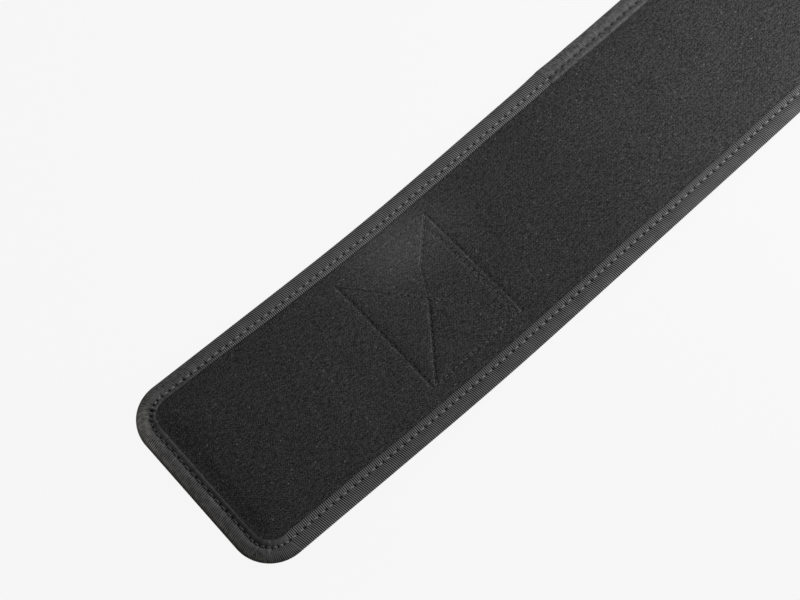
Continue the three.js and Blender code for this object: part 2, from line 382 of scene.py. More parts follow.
def edge_at(distance):
    """Place on the belt's outline and the way inwards there, by the distance round it."""
    s = np.mod(distance, EDGE_LENGTH)
    run = np.clip(np.searchsorted(RUNS, s, side="right") - 1, 0, 7)
    into = s - RUNS[run]
    quarter = run // 2
    angle = (quarter + np.where(run % 2 == 1, into / ARC, 0.0)) * math.pi / 2
    inward = np.stack([-np.sin(angle), np.cos(angle)], -1)
    half = np.array([BELT_LENGTH / 2 - CORNER_RADIUS, BELT_WIDTH / 2 - CORNER_RADIUS])
    signs = np.array([[-1, -1], [1, -1], [1, 1], [-1, 1]])
    corner = np.where(run % 2 == 1, (quarter + 1) % 4, quarter)
    centre = signs[corner] * half
    way = np.stack([np.cos(angle), np.sin(angle)], -1)
    travel = np.where(run % 2 == 1, 0.0, into)[:, None] * way
    place = centre + travel - inward * CORNER_RADIUS
    place[:, 0] += BELT_LENGTH / 2
    return place, inward


def past_lap(distance):
    """1 on the +Y side past the start of the tape's overlap."""
    place, inward = edge_at(distance)
    return smooth((place[:, 0] - LAP_START) / LAP_BLEND + 0.5) * (inward[:, 1] < -0.5)


def lap_share(distance):
    """1 on the overlap's second layer of tape, fading to 0 past it."""
    place, _ = edge_at(distance)
    return past_lap(distance) * (1 - smooth((place[:, 0] - LAP_START - LAP_LENGTH) / LAP_FADE))


def calm_share(distance):
    """1 where the tape's ribs hardly show, at the raised end's corners and past the overlap, and less than 0
    on the -Y side, where they stand out most."""
    place, inward = edge_at(distance)
    far_side = smooth((-inward[:, 1] - 0.3) / 0.5)
    near_side = smooth((inward[:, 1] - 0.5) / 0.4)
    end = 1 - smooth((place[:, 0] - 2 - 20 * far_side) / (24 + 24 * far_side))
    end = end * (0.75 + 0.25 * np.minimum(1, 2 * np.abs(inward[:, 1])))
    return np.maximum(end, past_lap(distance)) - 0.3 * near_side * (1 - end)


def thread_shade_share(distance):
    """1 where painted shade darkens the sewing thread so that it hardly shows: across the raised end and past
    the overlap.
    """
    place, inward = edge_at(distance)
    end = smooth((inward[:, 0] - 0.3) / 0.5) * (place[:, 0] < BELT_LENGTH / 2)
    return np.maximum(end, past_lap(distance))


def wobble(distance, seed, length, height):
    return wave(distance, np.zeros_like(distance), seed, length, height)


def stitch_line(distance):
    """Distance of the stitch line from the belt's edge."""
    place, inward = edge_at(distance)
    lower_side = smooth((inward[:, 1] + 0.2) / 1.0)
    near_end = (inward[:, 1] < -0.5) * (1 - smooth((place[:, 0] - 40) / 90))
    return STITCH_IN - 0.3 * near_end - 0.5 * lower_side + wobble(distance, 21, 60, 0.12)


def inner_edge(distance):
    """Distance of the tape's inner edge from the belt's edge."""
    place, inward = edge_at(distance)
    near_end = (inward[:, 1] < -0.5) * (1 - smooth((place[:, 0] - 30) / 90))
    lap = 0.5 * past_lap(distance)
    return TAPE_FACE - 0.9 * near_end + lap + wobble(distance, 22, 40, 0.1)


def tape_section():
    """The tape's closed section: share of the way in, 1 at the stitches and 2 at its edge, and height."""
    upper = [(2.0, 1.95), (1.88, 2.28), (1.55, 2.3), (1.22, 2.02), (1.0, 1.72), (0.86, 1.98), (0.66, 2.2)]
    upper += [(0.46, 2.12), (0.28, 1.82), (0.12, 1.3), (0.02, 0.55), (0.02, -0.55), (0.12, -1.3)]
    upper += [(0.34, -1.95), (0.66, -2.2), (1.0, -1.9), (2.0, -2.2)]
    inside = [(2.0, -1.2), (0.33, -1.2), (0.16, 0.0), (0.33, 1.2), (2.0, 1.2)]
    return np.array(upper + inside), len(upper)


def tape_stations():
    """Distances round the edge: four to a rib at the raised end, and wider apart past it."""
    step = RIB_PITCH / 4
    first_end = TAPE_FINE_END - CORNER_RADIUS
    second = RUNS[4] + (BELT_LENGTH - CORNER_RADIUS - TAPE_FINE_END)
    fine = [np.arange(0, first_end, step), np.arange(second, EDGE_LENGTH - step / 2, step)]
    wide = np.arange(first_end + 1, second - 1, WIDE_STEP)
    return np.sort(np.concatenate([*fine, wide]))


def pleat(distance):
    """Small folds of the tape at the corners of the raised end."""
    corners = [RUNS[5] + 0.36 * ARC, RUNS[5] + 0.75 * ARC, RUNS[7] + 0.5 * ARC]
    heights = [0.55, 0.2, 0.22]
    total = np.zeros_like(distance)
    for place, height in zip(corners, heights):
        total += height * np.exp(-(((distance - place) / 1.1) ** 2))
        total -= 0.6 * height * np.exp(-(((distance - place - 2.2) / 1.1) ** 2))
    return total


def rib_relief(stations):
    """Height of the ribs round the edge, up and down."""
    strength = RIB_HEIGHT * (1 + wobble(stations, 25, 9, 0.25)) * (1 - 0.85 * calm_share(stations))
    return strength * np.cos(2 * math.pi * stations / RIB_PITCH)


def needle_pits(stations, off):
    """1 in the middle of each needle hole, by the distance round the edge and off the stitch line."""
    beat = np.cos(2 * math.pi * stations / TAPE_STITCH)
    return np.exp((beat - 1) / 0.16)[:, None] * np.exp(-((off / 0.75) ** 2))


def tape_surface(stations, section, skin):
    """Way in from the belt's edge, height and stitch line of each point. skin is 1 on the outer face."""
    place, inward = edge_at(stations)
    line = stitch_line(stations)[:, None]
    face = inner_edge(stations)[:, None]
    share = section[None, :, 0]
    upward = skin * np.sign(section[None, :, 1])
    above = skin * (section[None, :, 1] > 0)
    rib = rib_relief(stations)[:, None]
    bulge = np.clip(1 - share / 0.4, 0, 1)
    into = np.where(share <= 1, share * line, line + (share - 1) * (face - line))
    into = into - skin * rib * bulge
    bulging = 0.4 * np.exp(-(((place[:, 0] - LAP_START) / 7) ** 2)) * (inward[:, 1] < -0.5)
    into = into - bulging[:, None] * skin * (share < 1)
    height = section[None, :, 1] + upward * rib * (1 - 0.5 * bulge)
    height = height - upward * 0.5 * needle_pits(stations, into - line)
    height = height + LAP_RISE * lap_share(stations)[:, None] * above
    height = height + pleat(stations)[:, None] * above * smooth(share * 0.8)
    height = height + wobble(stations, 26, 23, 0.12)[:, None] * upward * (share > 1.3)
    return into, height, line


def make_binding(material):
    stations = tape_stations()
    section, outer = tape_section()
    skin = (np.arange(len(section)) < outer)[None, :].astype(float)
    into, height, line = tape_surface(stations, section, skin)
    ahead = RIB_SLANT * np.maximum(line - into, 0) * (1 - 0.3 * smooth(section[None, :, 0]))
    place, inward = edge_at((stations[:, None] + ahead * skin).ravel())
    place = place.reshape(*into.shape, 2) + inward.reshape(*into.shape, 2) * into[..., None]
    flat = np.concatenate([place, height[..., None]], -1)
    painted = np.zeros_like(flat)
    painted[..., 0] = stations[:, None]
    painted[..., 1] = into - line
    painted[..., 2] = calm_share(stations)[:, None] * skin
    points = bend(flat.reshape(-1, 3))
    faces = grid_faces(len(stations), len(section), True, True)
    add_piece("ribbed_tape", points, outward(points, faces), material, ["edge_binding"],
              painted.reshape(-1, 3))


# Stitches, and the rows of one as share of its length, height and thickness, both in thread radii
THREAD_SIDES = 6
THREAD_ROWS = [(0.0, -0.9, 0.6), (0.12, -0.1, 0.95), (0.36, 0.5, 1.0), (0.64, 0.5, 1.0), (0.88, -0.1, 0.95),
               (1.0, -0.9, 0.6)]


def thread_mesh(starts, ends, radius, sides, thread_shade):
    """Short arched threads between pairs of flat points. sides is 1 on the inner face and -1 below, and each
    thread's painted shade is stored on them for their material."""
    rows = np.array(THREAD_ROWS)
    way = ends - starts
    length = np.linalg.norm(way, axis=1, keepdims=True)
    way = way / length
    across = np.stack([-way[:, 1] * sides, way[:, 0] * sides, np.zeros(len(way))], -1)
    up = np.zeros_like(way)
    up[:, 2] = sides
    angle = 2 * math.pi * np.arange(THREAD_SIDES) / THREAD_SIDES
    middle = starts[:, None] + (ends - starts)[:, None] * rows[None, :, 0, None]
    middle = middle + up[:, None] * rows[None, :, 1, None] * radius
    ring = (across[:, None, None] * np.cos(angle)[None, None, :, None]
            + up[:, None, None] * np.sin(angle)[None, None, :, None])
    ring = ring * rows[None, :, 2, None, None] * radius
    flat = middle[:, :, None] + ring
    tube = grid_faces(len(rows), THREAD_SIDES, False, True)
    last = (len(rows) - 1) * THREAD_SIDES
    caps = np.array([[0, 1, 2, 3], [0, 3, 4, 5]])
    faces = np.concatenate([tube, caps, caps[:, ::-1] + last])
    size = len(rows) * THREAD_SIDES
    faces = faces[None] + (np.arange(len(starts)) * size)[:, None, None]
    painted = np.zeros_like(flat)
    painted[..., 0] = rows[None, :, 0, None] * length[:, :, None]
    painted[..., 1] = angle[None, None, :]
    painted[..., 2] = thread_shade[:, None, None]
    return flat.reshape(-1, 3), faces.reshape(-1, 4), painted.reshape(-1, 3)


def tape_threads(side):
    """Starts and ends of the threads along the tape on one face."""
    count = int(round(EDGE_LENGTH / TAPE_STITCH))
    rng = np.random.default_rng(31 if side > 0 else 32)
    begin = TAPE_STITCH * np.arange(count)
    ends = []
    for distance in (begin + 0.75, begin + TAPE_STITCH - 0.55):
        place, inward = edge_at(distance)
        into = stitch_line(distance) + rng.normal(0, 0.07, count)
        above = THREAD_ABOVE + LAP_RISE * lap_share(distance)
        height = above if side > 0 else np.full(count, THREAD_BELOW)
        ends.append(np.concatenate([place + inward * into[:, None], side * height[:, None]], 1))
    return ends


def add_threads(name, above, below, thread_shade, radius, material):
    """A piece of the threads on both faces, each given by its starts and its ends."""
    starts, ends = (np.concatenate(pair) for pair in zip(above, below))
    sides = np.repeat([1.0, -1.0], len(above[0]))
    flat, faces, painted = thread_mesh(starts, ends, radius, sides, thread_shade)
    points = bend(flat)
    add_piece(name, points, outward(points, faces), material, (), painted)


def make_tape_stitches(material):
    above = tape_threads(1)
    below = tape_threads(-1)
    thread_shade = thread_shade_share(TAPE_STITCH * (np.arange(len(above[0])) + 0.5))
    add_threads("binding_stitches", above, below, np.tile(thread_shade, 2), TAPE_THREAD, material)


def thread_height(places, side):
    """Height of the box threads' ends on the inner face, or under the webbing's outermost layer."""
    if side > 0:
        return inner_face(places[:, 0], places[:, 1]) + 0.02
    doubled = places[:, 0] < BELT_LENGTH / 2
    layer = np.where(doubled, STRAP_HEIGHT - 2 * LAYER, STRAP_HEIGHT)
    return layer - STRAP_THICKNESS / 2 + 0.3


def box_threads(side, seed):
    """How much painted shade darkens the threads of both boxes on one face, and where each one starts and
    ends.
    """
    rng = np.random.default_rng(seed)
    places, thread_shade = [], []
    for mirrored in (False, True):
        for (x0, y0), (x1, y1), _, _, _, shows in BOX_LINES:
            count = int(round(math.hypot(x1 - x0, y1 - y0) / BOX_STITCH))
            for k in range(count):
                offset = rng.normal(0, 0.12, 2)
                pair = []
                for share in ((k + 0.12) / count, (k + 0.88) / count):
                    x = x0 + (x1 - x0) * share + offset[0]
                    y = y0 + (y1 - y0) * share + offset[1]
                    pair.append((BELT_LENGTH - x if mirrored else x, y))
                places.append(pair)
                thread_shade.append(1 - shows * rng.uniform(0.6, 1.0))
    starts, ends = np.array(places).transpose(1, 0, 2)
    starts = np.concatenate([starts, thread_height(starts, side)[:, None]], 1)
    ends = np.concatenate([ends, thread_height(ends, side)[:, None]], 1)
    return np.array(thread_shade), starts, ends


def make_box_stitches(material):
    thread_shade_above, *above = box_threads(1, 41)
    thread_shade_below, *below = box_threads(-1, 42)
    thread_shade = np.concatenate([thread_shade_above, thread_shade_below])
    add_threads("box_stitches", above, below, thread_shade, BOX_THREAD, material)


# Webbing
def webbing_section():
    """Closed section of the webbing with round selvedges: place across and side, 1 above and -1 below."""
    half = STRAP_WIDTH / 2 - SELVEDGE
    flat = np.linspace(-half, half, int(round(STRAP_WIDTH / WEBBING_WIDTH_STEP)))
    turn = np.linspace(-math.pi / 2, math.pi / 2, SELVEDGE_POINTS + 2)[1:-1]
    above = [(y, 1.0) for y in flat]
    right = [(half + SELVEDGE * math.cos(a), math.sin(a)) for a in turn[::-1]]
    below = [(y, -1.0) for y in flat[::-1]]
    left = [(-half - SELVEDGE * math.cos(a), math.sin(a)) for a in turn]
    return np.array(above + right + below + left)


def sweep_webbing(line, section, dents):
    """Closed webbing along a line of flat (along, height) places. dents sinks its lower face."""
    way = np.gradient(line, axis=0)
    way = way / np.linalg.norm(way, axis=1, keepdims=True)
    side = np.stack([-way[:, 1], way[:, 0]], -1)
    half = np.full(len(line), STRAP_THICKNESS / 2)
    half[[0, -1]] = STRAP_THICKNESS * 0.3
    flat = np.zeros((len(line), len(section), 3))
    thick = section[None, :, 1] * half[:, None]
    thick = np.where(section[None, :, 1] < 0, thick + dents(line[:, None, 0], section[None, :, 0]), thick)
    flat[..., 0] = line[:, None, 0] + side[:, None, 0] * thick
    flat[..., 1] = section[None, :, 0]
    flat[..., 2] = line[:, None, 1] + side[:, None, 1] * thick
    run = np.concatenate([[0], np.cumsum(np.linalg.norm(np.diff(line, axis=0), axis=1))])
    painted = np.zeros_like(flat)
    painted[..., 0] = run[:, None]
    painted[..., 1] = section[None, :, 0]
    painted[..., 2] = section[None, :, 1]
    faces = grid_faces(len(line), len(section), False, True)
    return flat.reshape(-1, 3), faces, painted.reshape(-1, 3)


def close_ends(flat, faces, section):
    """Flat strips over both cut ends, between the section's upper and lower rows and over its selvedges."""
    last = len(flat) - len(section)
    count = int(np.sum(section[:, 1] == 1.0))
    upper = np.arange(count)
    right = count + np.arange(SELVEDGE_POINTS)
    lower = (count + SELVEDGE_POINTS + np.arange(count))[::-1]
    left = 2 * count + SELVEDGE_POINTS + np.arange(SELVEDGE_POINTS)
    middle = np.stack([upper[:-1], upper[1:], lower[1:], lower[:-1]], -1)
    sides = np.array([
        [upper[-1], right[0], right[3], lower[-1]],
        right,
        [lower[0], left[0], left[3], upper[0]],
        left,
    ])
    cap = np.concatenate([middle, sides])
    return np.concatenate([faces, cap, cap[:, ::-1] + last])


def make_strap(material):
    under = np.arange(BOX_START, BELT_LENGTH, UNDER_STEP)
    beyond = np.arange(BELT_LENGTH, STRAP_END - CUT_END, WEBBING_STEP)
    tip = [STRAP_END - CUT_END, STRAP_END]
    rows = np.concatenate([under[:1], [BOX_START + CUT_END], under[1:], beyond, tip])
    line = np.stack([rows, np.full(len(rows), STRAP_HEIGHT)], -1)

    def dents(along, across):
        total = np.zeros(np.broadcast(along, across).shape)
        for start, end, *_ in BOX_LINES:
            distance = to_line(BELT_LENGTH - along, across, start, end)
            total = np.maximum(total, 0.42 * np.exp(-((distance / 1.3) ** 2)))
        return total

    section = webbing_section()
    flat, faces, painted = sweep_webbing(line, section, dents)
    faces = close_ends(flat, faces, section)
    points = bend(flat)
    add_piece("strap_webbing", points, outward(points, faces), material, ["support_strap"],
              painted)


def make_loop(material):
    legs = np.arange(BOX_START, LOOP_END - CUT_END, WEBBING_STEP)
    legs = np.concatenate([legs, [LOOP_END - CUT_END, LOOP_END]])
    lower = np.stack([legs[::-1], np.full(len(legs), STRAP_HEIGHT - 2 * LAYER)], -1)
    upper = np.stack([legs, np.full(len(legs), STRAP_HEIGHT - LAYER)], -1)
    angle = np.linspace(0, math.pi, 25)
    turn = np.stack([BAR_ALONG - LOOP_RADIUS * np.sin(angle), BAR_HEIGHT - LOOP_RADIUS * np.cos(angle)], -1)
    line = np.concatenate([lower, turn, upper])

    def no_dents(along, across):
        return np.zeros(np.broadcast(along, across).shape)

    section = webbing_section()
    flat, faces, painted = sweep_webbing(line, section, no_dents)
    faces = close_ends(flat, faces, section)
    points = bend(flat)
    add_piece("loop_webbing", points, outward(points, faces), material, ["ring_loop"],
              painted)


# Ring
def ring_path():
    """Middle line of the wire, lying flat round the middle of its slot."""
    middle_x = RING_SLOT / 2 + WIRE_RADIUS - RING_BEND
    middle_y = RING_HALF_WIDTH - RING_BEND
    centres = [(middle_x, -middle_y), (middle_x, middle_y), (-middle_x, middle_y), (-middle_x, -middle_y)]
    path = []
    for n, (x, y) in enumerate(centres):
        for turn in np.linspace(n, n + 1, 13) * math.pi / 2:
            path.append((x + RING_BEND * math.sin(turn), y - RING_BEND * math.cos(turn)))
        following = centres[(n + 1) % 4]
        end = path[-1]
        begin = (following[0] + RING_BEND * math.sin((n + 1) * math.pi / 2),
                 following[1] - RING_BEND * math.cos((n + 1) * math.pi / 2))
        steps = max(2, int(math.hypot(begin[0] - end[0], begin[1] - end[1]) / 2))
        for share in np.arange(1, steps) / steps:
            path.append((end[0] + (begin[0] - end[0]) * share, end[1] + (begin[1] - end[1]) * share))
    return np.array(path)


def wire_round(path):
    """The round wire along its path, with a low bead where it is welded shut."""
    way = np.roll(path, -1, 0) - np.roll(path, 1, 0)
    way = way / np.linalg.norm(way, axis=1, keepdims=True)
    inward = np.stack([-way[:, 1], way[:, 0]], -1)
    angle = 2 * math.pi * np.arange(WIRE_SIDES) / WIRE_SIDES
    weld = 1 + 0.05 * np.exp(-(((path[:, 1] - 20) / 1.4) ** 2)) * (path[:, 0] > 0)
    radius = WIRE_RADIUS * weld[:, None]
    local = np.zeros((len(path), WIRE_SIDES, 3))
    local[..., :2] = path[:, None] + inward[:, None] * (radius * np.cos(angle))[..., None]
    local[..., 2] = radius * np.sin(angle)
    return local.reshape(-1, 3)


def make_ring(material):
    """Rounded rectangle of wire, tilted as the belt is where the loop holds it."""
    path = ring_path()
    local = wire_round(path) - [RING_SLOT / 2 + WIRE_RADIUS, 0, 0]
    tilt = float(slope_at(np.array(BAR_ALONG - RING_SLOT / 2)))
    x = local[:, 0] * math.cos(tilt) + local[:, 2] * math.sin(tilt)
    z = local[:, 2] * math.cos(tilt) - local[:, 0] * math.sin(tilt)
    bar = bend(np.array([BAR_ALONG, 0.0, BAR_HEIGHT]))
    points = np.stack([x, local[:, 1], z], -1) * MM + bar
    faces = grid_faces(len(path), WIRE_SIDES, True, True)
    add_piece("steel_ring", points, outward(points, faces), material, ["buckle_ring"], local)


# Materials
FABRIC_SHADE = (0.04, 0.04, 0.04)
TAPE_SHADE = (0.093, 0.093, 0.093)
BINDING_THREAD_SHADE = (0.23, 0.23, 0.23)
BOX_THREAD_SHADE = (0.13, 0.13, 0.13)
WEBBING_SHADE = (0.036, 0.036, 0.037)
STEEL_SHADE = (0.6, 0.6, 0.61)
FLOOR_SHADE = (0.035, 0.035, 0.035, 1)
FLOOR_GLOW = (0.912, 0.912, 0.912, 1)


class Net:
    """A material's nodes, with the flat places of its piece at hand."""

    def __init__(self, name):
        self.material = bpy.data.materials.new(name)
        self.material.use_nodes = True
        self.tree = self.material.node_tree
        self.tree.nodes.clear()
        output = self.tree.nodes.new("ShaderNodeOutputMaterial")
        self.shader = self.tree.nodes.new("ShaderNodeBsdfPrincipled")
        self.tree.links.new(self.shader.outputs[0], output.inputs[0])
        place = self.tree.nodes.new("ShaderNodeAttribute")
        place.attribute_name = "flat"
        self.flat = place.outputs["Vector"]
        parts = self.tree.nodes.new("ShaderNodeSeparateXYZ")
        self.tree.links.new(self.flat, parts.inputs[0])
        self.x, self.y, self.z = parts.outputs

    def put(self, value, socket):
        if isinstance(value, (int, float, tuple)):
            socket.default_value = value
        else:
            self.tree.links.new(value, socket)

    def math(self, operation, *values):
        node = self.tree.nodes.new("ShaderNodeMath")
        node.operation = operation
        for socket, value in zip(node.inputs, values):
            self.put(value, socket)
        return node.outputs[0]

    def total(self, first, *others):
        for value in others:
            first = self.math("ADD", first, value)
        return first

    def product(self, first, *others):
        for value in others:
            first = self.math("MULTIPLY", first, value)
        return first

    def factor(self, share, amount):
        """1 where the share is 0, and an amount more where it is 1."""
        return self.math("MULTIPLY_ADD", share, amount, 1.0)

    def ranged(self, value, low, high, to_low=0.0, to_high=1.0):
        node = self.tree.nodes.new("ShaderNodeMapRange")
        for socket, item in zip(node.inputs, (value, low, high, to_low, to_high)):
            self.put(item, socket)
        return node.outputs[0]

    def scaled(self, x, y, z=0.0):
        """The flat place with its parts multiplied."""
        node = self.tree.nodes.new("ShaderNodeVectorMath")
        node.operation = "MULTIPLY"
        self.put(self.flat, node.inputs[0])
        node.inputs[1].default_value = (x, y, z)
        return node.outputs[0]

    def noise(self, vector, scale, detail=2.0, roughness=0.5):
        node = self.tree.nodes.new("ShaderNodeTexNoise")
        self.put(vector, node.inputs["Vector"])
        node.inputs["Scale"].default_value = scale
        node.inputs["Detail"].default_value = detail
        node.inputs["Roughness"].default_value = roughness
        return node.outputs["Fac"]

    def spread(self, noise, low, high):
        """The middle of a noise's range, stretched to run from low to high."""
        return self.ranged(noise, 0.3, 0.7, low, high)

    def dots(self, scale, radius, share):
        """1 in sparse round dots of a radius in millimetres, in a share of the cells."""
        node = self.tree.nodes.new("ShaderNodeTexVoronoi")
        node.voronoi_dimensions = "2D"
        self.put(self.scaled(1.0, 1.0), node.inputs["Vector"])
        node.inputs["Scale"].default_value = scale
        parts = self.tree.nodes.new("ShaderNodeSeparateXYZ")
        self.tree.links.new(node.outputs["Color"], parts.inputs[0])
        chosen = self.math("GREATER_THAN", parts.outputs[0], 1 - share)
        reach = radius * scale
        near = self.ranged(node.outputs["Distance"], 0.4 * reach, reach, 1.0, 0.0)
        return self.math("MULTIPLY", near, chosen)

    def hill(self, value, middle, width):
        """1 at the middle, falling off to both sides."""
        off = self.math("MULTIPLY_ADD", value, 1 / width, -middle / width)
        return self.math("EXPONENT", self.math("MULTIPLY", self.math("MULTIPLY", off, off), -1.0))

    def sine(self, value, pitch, start=0.0):
        """A sine along a value, one wave to each pitch."""
        turned = self.math("MULTIPLY_ADD", value, 2 * math.pi / pitch, start)
        return self.math("SINE", turned)

    def shade(self, color, factor):
        """A colour with its brightness multiplied by a value."""
        node = self.tree.nodes.new("ShaderNodeVectorMath")
        node.operation = "SCALE"
        node.inputs[0].default_value = color[:3]
        self.put(factor, node.inputs["Scale"])
        return node.outputs[0]

    def warmed(self, color, share):
        """A colour with a little of its green and more of its blue taken away."""
        node = self.tree.nodes.new("ShaderNodeVectorMath")
        node.operation = "MULTIPLY"
        self.put(color, node.inputs[0])
        tint = self.tree.nodes.new("ShaderNodeCombineXYZ")
        tint.inputs[0].default_value = 1.0
        self.put(self.math("MULTIPLY_ADD", share, -0.03, 1.0), tint.inputs[1])
        self.put(self.math("MULTIPLY_ADD", share, -0.09, 1.0), tint.inputs[2])
        self.tree.links.new(tint.outputs[0], node.inputs[1])
        return node.outputs[0]

    def bump(self, height, distance, strength=1.0):
        node = self.tree.nodes.new("ShaderNodeBump")
        node.inputs["Strength"].default_value = strength
        node.inputs["Distance"].default_value = distance
        self.put(height, node.inputs["Height"])
        self.tree.links.new(node.outputs[0], self.shader.inputs["Normal"])

    def finish(self, **values):
        for name, value in values.items():
            self.put(value, self.shader.inputs[name.replace("_", " ")])
        return self.material


def plain_weave(net, pitch, waver):
    """Checker of raised threads, its rows slightly uneven. The value runs from -1 to 1."""
    drift = net.noise(net.scaled(0.12, 0.12), 1.0)
    drift = net.math("MULTIPLY_ADD", drift, waver, -waver / 2)
    along = net.sine(net.total(net.x, drift), 2 * pitch)
    across = net.sine(net.total(net.y, drift), 2 * pitch)
    return net.product(along, across)


def line_marks(net, near, start, end):
    """Where one seam line gets painted shade in its groove, a painted highlight along its lit edge and
    painted shade in its needle holes: three values from 0 to 1.
    """
    (x0, y0), (x1, y1) = start, end
    length = math.hypot(x1 - x0, y1 - y0)
    dx, dy = (x1 - x0) / length, (y1 - y0) / length
    run = net.math("MULTIPLY_ADD", near, dx, -x0 * dx - y0 * dy)
    run = net.math("MULTIPLY_ADD", net.y, dy, run)
    signed = net.math("MULTIPLY_ADD", near, -dy, x0 * dy - y0 * dx)
    signed = net.math("MULTIPLY_ADD", net.y, dx, signed)
    off = net.math("ABSOLUTE", signed)
    from_middle = net.math("ABSOLUTE", net.math("SUBTRACT", run, length / 2))
    inside = net.ranged(from_middle, length / 2, length / 2 + 0.6, 1.0, 0.0)
    line = net.product(net.ranged(off, 0.1, 0.75, 1.0, 0.0), inside)
    edge = net.product(net.hill(signed, 0.85, 0.35), inside)
    beat = net.math("COSINE", net.product(run, 2 * math.pi * round(length / BOX_STITCH) / length))
    hole = net.product(net.ranged(beat, 0.45, 0.8), net.ranged(off, 0.3, 0.6, 1.0, 0.0), inside)
    return line, edge, hole


def seam_marks(net):
    """Where both boxes get painted shade in their grooves, painted highlight along their lit edges and
    painted shade in their needle holes: three values from 0 to 1.
    """
    near = net.math("MINIMUM", net.x, net.math("SUBTRACT", BELT_LENGTH, net.x))
    groove, lit, holes = 0.0, 0.0, 0.0
    for start, end, _, _, dark, _ in BOX_LINES:
        line, edge, hole = line_marks(net, near, start, end)
        groove = net.math("MAXIMUM", groove, net.product(line, dark))
        lit = net.math("MAXIMUM", lit, net.product(edge, 0.3 + 0.7 * dark))
        holes = net.math("MAXIMUM", holes, hole)
    return groove, lit, holes


def painted_light_patch(net, x, y, length, width):
    """A soft round patch for painted highlight and painted shade, 1 in its middle."""
    dx = net.math("MULTIPLY_ADD", net.x, 1 / length, -x / length)
    dy = net.math("MULTIPLY_ADD", net.y, 1 / width, -y / width)
    square = net.math("MULTIPLY_ADD", dx, dx, net.product(dy, dy))
    return net.math("EXPONENT", net.product(square, -1.0))


def fabric_threads(net, weave, grain):
    """Brightness of the fabric away from its seams: weave, streaks, grain, fuzz, clouds and lint."""
    depth = net.math("MULTIPLY_ADD", grain, 10.0, -5.0)
    fuzz = net.noise(net.scaled(1.0, 1.0), 0.75, 2.0, 0.6)
    return net.total(
        net.product(weave, 0.24),
        net.spread(net.noise(net.scaled(0.3, 1.5), 1.0), -0.45, 0.55),
        net.spread(net.noise(net.scaled(1.3, 0.3), 1.0), -0.2, 0.3),
        net.math("MULTIPLY_ADD", depth, 0.52, 0.35),
        net.product(depth, depth, depth, 0.03),
        net.ranged(fuzz, 0.25, 0.75, -0.4, 0.75),
        net.spread(net.noise(net.scaled(1.0, 1.0), 0.07, 3.0), -0.03, 0.15),
        net.product(net.dots(0.2, 0.5, 0.14), 2.4),
    )


def body_fabric():
    """Black fabric, with a painted highlight patch over the box, a painted shade patch past it, painted light
    that grows towards the far end, and painted shade and highlight along the seams.
    """
    net = Net("body_fabric")
    weave = plain_weave(net, 0.525, 0.9)
    grain = net.noise(net.scaled(1.0, 1.0), 1.65, 2.0, 0.6)
    groove, lit, holes = seam_marks(net)
    # painted highlight: a soft lighter patch over the box; painted shade: a soft darker patch past it
    light = painted_light_patch(net, 145.5, 34.0, 26.5, 21.5)
    dark = painted_light_patch(net, 205.0, 0.0, 34.0, 40.0)
    value = net.product(
        net.total(fabric_threads(net, weave, grain), net.product(light, 1.1)),
        # painted light: the fabric made up to 1.2 times brighter from 215 to 290 mm along and on to the far
        # end
        net.ranged(net.x, 215.0, 290.0, 1.0, 1.2),
        net.factor(dark, -0.08),
        # painted shade in the seam grooves and needle holes, and a painted highlight along one edge of each
        # groove
        net.factor(groove, -0.45),
        net.factor(lit, 0.9),
        net.factor(holes, net.math("MULTIPLY_ADD", light, 0.6, -0.85)),
    )
    color = net.shade(FABRIC_SHADE, net.math("MAXIMUM", value, 0.03))
    height = net.total(net.product(weave, 0.3), net.product(grain, 1.6), net.product(groove, -2.2))
    net.bump(height, 0.00022, 0.9)
    return net.finish(Base_Color=color, Roughness=0.62, Specular_IOR_Level=0.22, Sheen_Weight=0.18,
                      Sheen_Roughness=0.5)


def tape_parts(net):
    """Shares of the tape's parts, from 0 to 1."""
    from_end = net.math("ABSOLUTE", net.math("SUBTRACT", net.x, (RUNS[6] + RUNS[7]) / 2))
    return {
        "past_stitches": net.ranged(net.y, -0.3, 0.6),
        "fold": net.ranged(net.y, -6.4, -5.0, 1.0, 0.0),
        "raised_end": net.ranged(from_end, END / 2 + 0.3 * ARC, END / 2 + 0.9 * ARC, 1.0, 0.0),
        "near_side": net.math("LESS_THAN", net.x, SIDE),
        "far_side": net.math("COMPARE", net.x, (RUNS[4] + RUNS[5]) / 2, SIDE / 2),
    }


def tape_threads_value(net, parts, rib, grain):
    """Brightness of the tape's ribs and threads: painted highlight on the rib tops and painted shade between
    them, calmer the nearer net.z is to 1, and painted light on the inner strip past the stitches.
    """
    inner = net.product(parts["past_stitches"], net.factor(net.z, -1.6))
    contrast = net.product(net.factor(net.z, -0.75), net.math("MULTIPLY_ADD", inner, 1.2, 3.2))
    crinkle = net.noise(net.scaled(0.8, 0.5), 1.0, 3.0, 0.6)
    cloud = net.noise(net.scaled(0.16, 0.3), 1.0, 3.0)
    return net.total(
        net.product(net.math("SUBTRACT", rib, 0.5), contrast),
        # painted light: the inner strip past the stitches lighter
        net.math("MULTIPLY_ADD", inner, 0.1, 0.9),
        net.product(net.spread(crinkle, -0.5, 0.6), net.z),
        net.spread(grain, -0.15, 0.2),
        net.spread(cloud, -0.22, 0.25),
        net.product(net.sine(net.y, 0.62), 0.05),
    )


